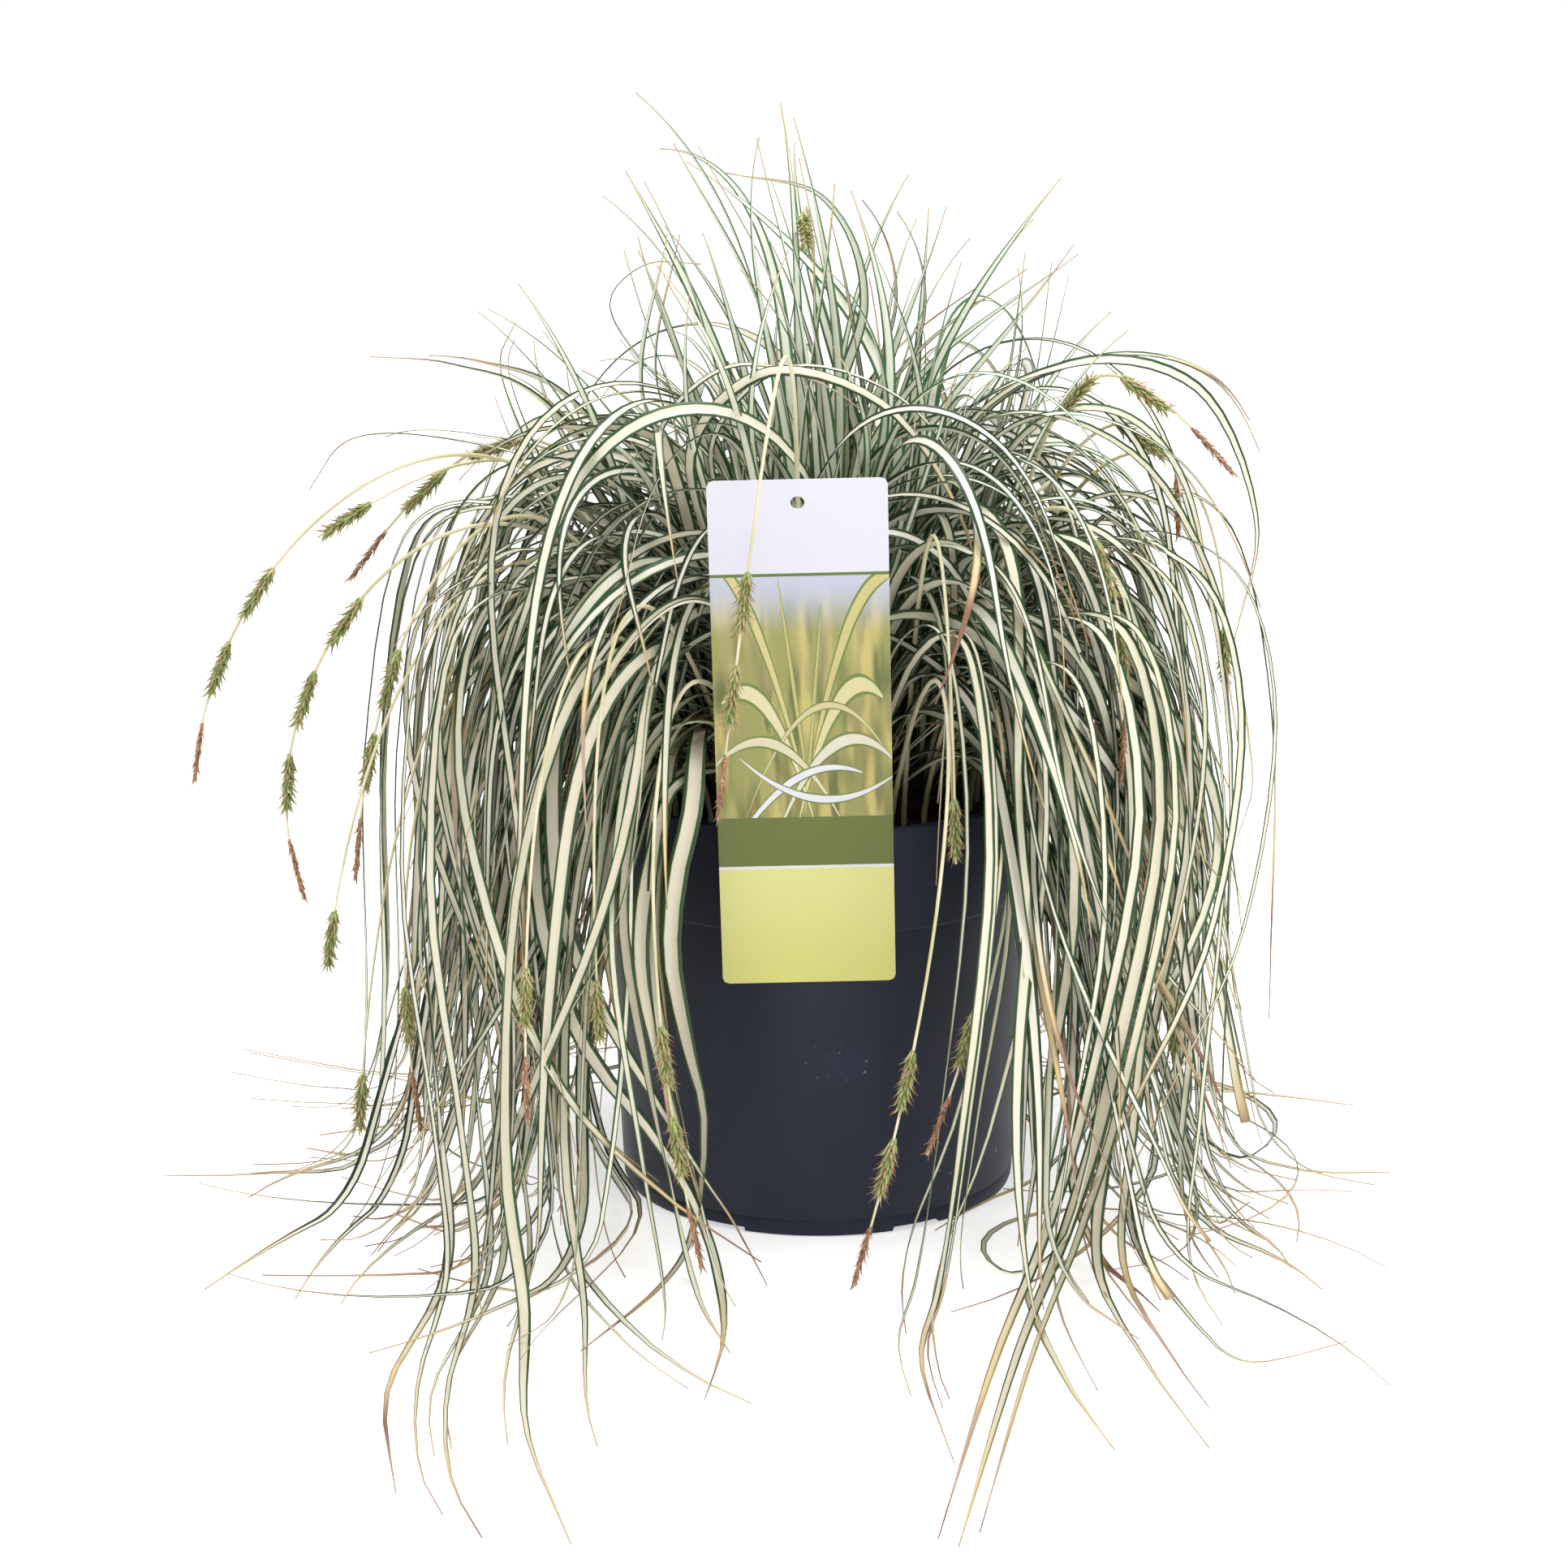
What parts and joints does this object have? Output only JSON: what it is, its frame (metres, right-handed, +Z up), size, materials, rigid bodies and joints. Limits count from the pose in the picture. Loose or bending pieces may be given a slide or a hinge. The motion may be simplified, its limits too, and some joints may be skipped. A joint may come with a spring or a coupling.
{
  "type": "variegated sedge plant in a nursery pot",
  "caption": "Variegated sedge with long arching striped leaves and drooping flower spikes, in a round tapered plastic nursery pot with a flared collar and a hooked-on plant label.",
  "frame": {"origin": "centre of the pot's underside, on the ground", "axes": "+Z up; -Y to the front, where the label hangs on the pot's rim"},
  "size_m": [0.4935, 0.5657, 0.4248],
  "materials": {
    "pot": "satin",
    "label": "printed, smooth",
    "soil": "rough, damp",
    "flower_stem": "satin",
    "leaf": "satin"
  },
  "bodies": {
    "root": {"pot": "pot", "label": "label", "soil": "soil", "flower_stem_01": "flower_stem", "flower_stem_02": "flower_stem", "flower_stem_03": "flower_stem", "flower_stem_04": "flower_stem", "flower_stem_05": "flower_stem", "flower_stem_06": "flower_stem", "flower_stem_07": "flower_stem", "flower_stem_08": "flower_stem", "flower_stem_09": "flower_stem", "flower_stem_10": "flower_stem", "flower_stem_11": "flower_stem", "flower_stem_12": "flower_stem", "flower_stem_13": "flower_stem", "flower_stem_14": "flower_stem", "flower_stem_15": "flower_stem", "flower_stem_16": "flower_stem", "flower_stem_17": "flower_stem", "flower_stem_18": "flower_stem", "flower_stem_19": "flower_stem", "flower_stem_20": "flower_stem", "flower_stem_21": "flower_stem", "flower_stem_22": "flower_stem", "flower_stem_23": "flower_stem", "flower_stem_24": "flower_stem", "flower_stem_25": "flower_stem", "leaf_shoot_01": "leaf", "leaf_shoot_02": "leaf", "leaf_shoot_03": "leaf", "leaf_shoot_04": "leaf", "leaf_shoot_05": "leaf", "leaf_shoot_06": "leaf", "leaf_shoot_07": "leaf", "leaf_shoot_08": "leaf", "leaf_shoot_09": "leaf", "leaf_shoot_10": "leaf", "leaf_shoot_11": "leaf", "leaf_shoot_12": "leaf", "leaf_shoot_13": "leaf", "leaf_shoot_14": "leaf", "leaf_shoot_15": "leaf"}
  },
  "joints": []
}
